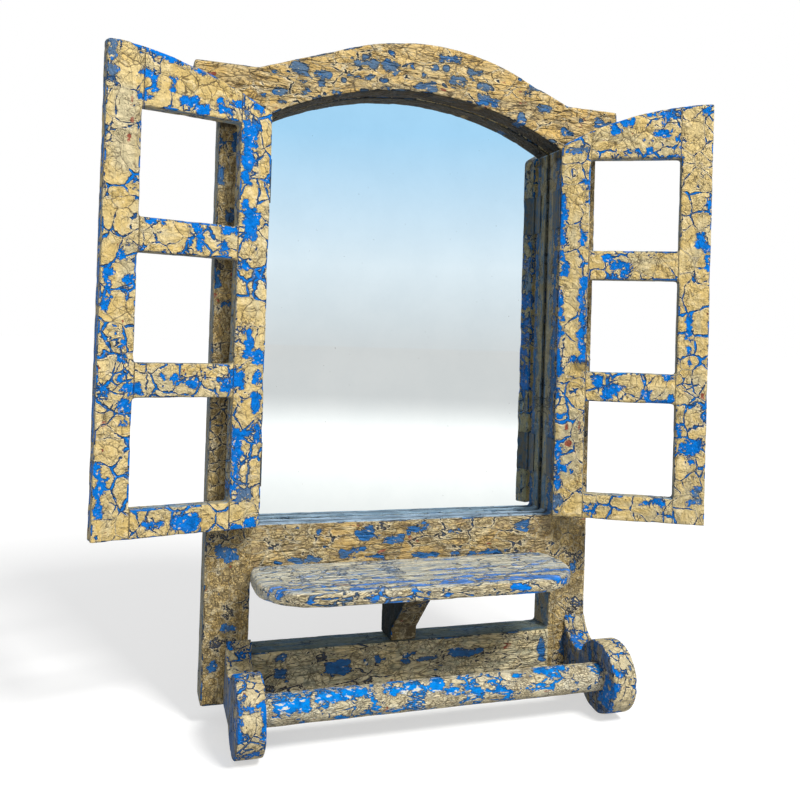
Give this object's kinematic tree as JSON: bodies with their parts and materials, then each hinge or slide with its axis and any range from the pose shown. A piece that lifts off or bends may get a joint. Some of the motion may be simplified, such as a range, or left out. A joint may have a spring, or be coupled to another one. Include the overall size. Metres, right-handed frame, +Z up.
{
  "type": "shuttered wall mirror",
  "caption": "Wall mirror framed like an arched window, with hinged open-light shutters, a small shelf and a towel bar below.",
  "frame": {"origin": "middle of the mid rail's back face, in the wall plane", "axes": "+Z up, +Y into the wall, +X to the right as seen from the front"},
  "size_m": [0.5492, 0.1255, 0.6151],
  "materials": {
    "frame_paint": "tan paint, crackled over blue, worn at the edges",
    "crest_paint": "ochre paint, crackled and pitted over blue",
    "rail_paint": "ochre paint, rubbed through to blue and grey",
    "shelf_paint": "tan paint with blue and grey streaks",
    "bracket_paint": "grey-blue worn paint with tan left on the front",
    "shutter_paint": "tan paint in large flakes over bright blue",
    "dowel_paint": "cream paint with blue showing in patches",
    "mirror": "silvered glass",
    "hardboard": "bare brown hardboard",
    "steel": "plain steel",
    "painted_iron": "iron painted over with the frame"
  },
  "bodies": {
    "frame": {"left_stile": "frame_paint", "right_stile": "frame_paint", "crest_rail": "crest_paint", "mid_rail": "rail_paint", "bottom_rail": "rail_paint", "shelf": "shelf_paint", "knee_bracket": "bracket_paint", "left_bar_bracket": "bracket_paint", "right_bar_bracket": "bracket_paint", "towel_bar": "dowel_paint", "mirror_glass": "mirror", "backing_board": "hardboard", "left_hanger": "steel", "right_hanger": "steel", "crest_brad": "steel", "sill_brad_1": "steel", "sill_brad_2": "steel", "left_brad_1": "steel", "left_brad_2": "steel", "left_brad_3": "steel", "right_brad_1": "steel", "right_brad_2": "steel", "right_brad_3": "steel", "left_lower_frame_leaf": "painted_iron", "left_lower_hinge_pin": "painted_iron", "left_upper_frame_leaf": "painted_iron", "left_upper_hinge_pin": "painted_iron", "right_lower_frame_leaf": "painted_iron", "right_lower_hinge_pin": "painted_iron", "right_upper_frame_leaf": "painted_iron", "right_upper_hinge_pin": "painted_iron"},
    "left_shutter": {"left_shutter_hinge_stile": "shutter_paint", "left_shutter_meeting_stile": "shutter_paint", "left_shutter_bottom_rail": "shutter_paint", "left_shutter_lower_muntin": "shutter_paint", "left_shutter_upper_muntin": "shutter_paint", "left_shutter_top_rail": "shutter_paint", "left_lower_shutter_leaf": "painted_iron", "left_upper_shutter_leaf": "painted_iron"},
    "right_shutter": {"right_shutter_hinge_stile": "shutter_paint", "right_shutter_meeting_stile": "shutter_paint", "right_shutter_bottom_rail": "shutter_paint", "right_shutter_lower_muntin": "shutter_paint", "right_shutter_upper_muntin": "shutter_paint", "right_shutter_top_rail": "shutter_paint", "right_lower_shutter_leaf": "painted_iron", "right_upper_shutter_leaf": "painted_iron"}
  },
  "joints": [
    {"name": "left_shutter_hinge", "type": "hinge", "parent": "frame", "child": "left_shutter", "pos_m": [-0.1447, -0.0331, 0], "axis": [0, 0, 1], "range_deg": [-15.9, 166.1]},
    {"name": "right_shutter_hinge", "type": "hinge", "parent": "frame", "child": "right_shutter", "pos_m": [0.1447, -0.0331, 0], "axis": [0, 0, 1], "range_deg": [-151.8, 30.2]}
  ]
}
